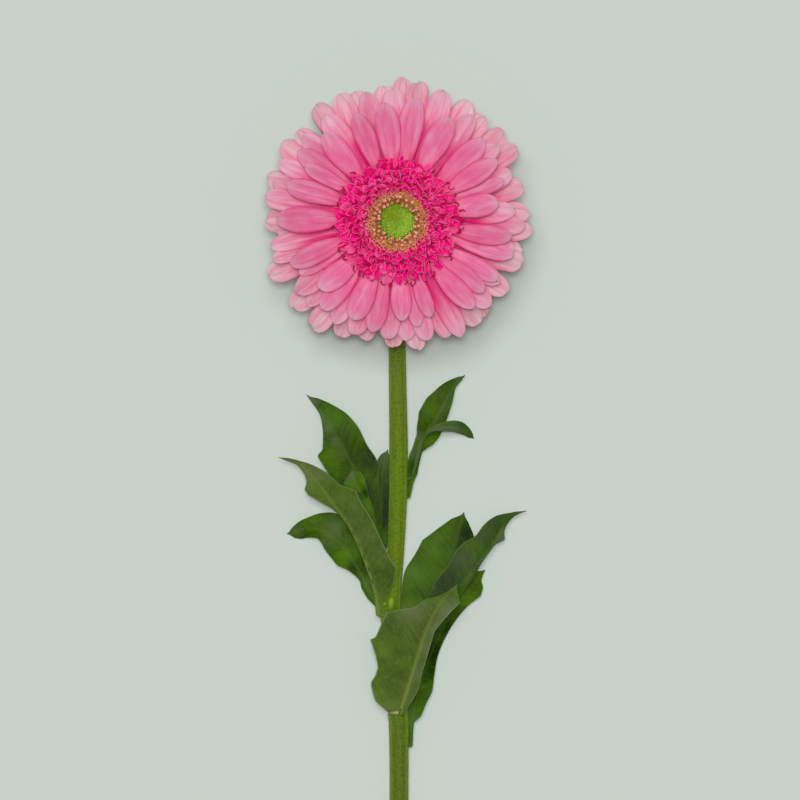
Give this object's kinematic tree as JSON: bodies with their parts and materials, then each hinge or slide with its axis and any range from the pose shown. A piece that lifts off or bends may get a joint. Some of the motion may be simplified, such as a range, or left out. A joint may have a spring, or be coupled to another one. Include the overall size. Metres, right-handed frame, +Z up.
{
  "type": "cut gerbera",
  "caption": "Cut gerbera lying on its long green stem, pink ray-petalled bloom turned up round a frilled magenta ring and a green centre, with lobed leaves along the stem.",
  "frame": {"origin": "middle of the whole plant's footprint, on the surface it lies on", "axes": "+Z up from the surface, the way the bloom faces; +Y along the stem from its cut end towards the bloom; +X to the right in the picture's view"},
  "size_m": [0.1114, 0.4012, 0.0522],
  "materials": {
    "scape": "satin, softly downy",
    "leaf_top": "satin, with a slight waxy shine",
    "leaf_under": "matt, downy",
    "bracts": "matt, downy",
    "petals_outer": "satin, velvety",
    "petals_middle": "satin, velvety",
    "petals_inner": "satin, velvety",
    "trans_florets": "satin, velvety",
    "disc_florets": "matt",
    "disc_centre": "satin"
  },
  "bodies": {
    "root": {"scape": "scape", "involucre": "bracts", "ray_petals_outer": "petals_outer", "ray_petals_middle": "petals_middle", "ray_petals_inner": "petals_inner", "trans_florets": "trans_florets", "disc_florets": "disc_florets", "disc_centre": "disc_centre", "leaf_upper_left_back": "leaf_top", "leaf_upper_left_front": "leaf_under", "leaf_upper_left_low": "leaf_top", "leaf_upper_left_small": "leaf_top", "leaf_upper_tucked": "leaf_top", "leaf_upper_right_tall": "leaf_top", "leaf_upper_right_arched": "leaf_top", "leaf_lower_right_broad": "leaf_top", "leaf_lower_right_long": "leaf_top", "leaf_lower_front": "leaf_under", "leaf_lower_right_edge": "leaf_top"}
  },
  "joints": []
}
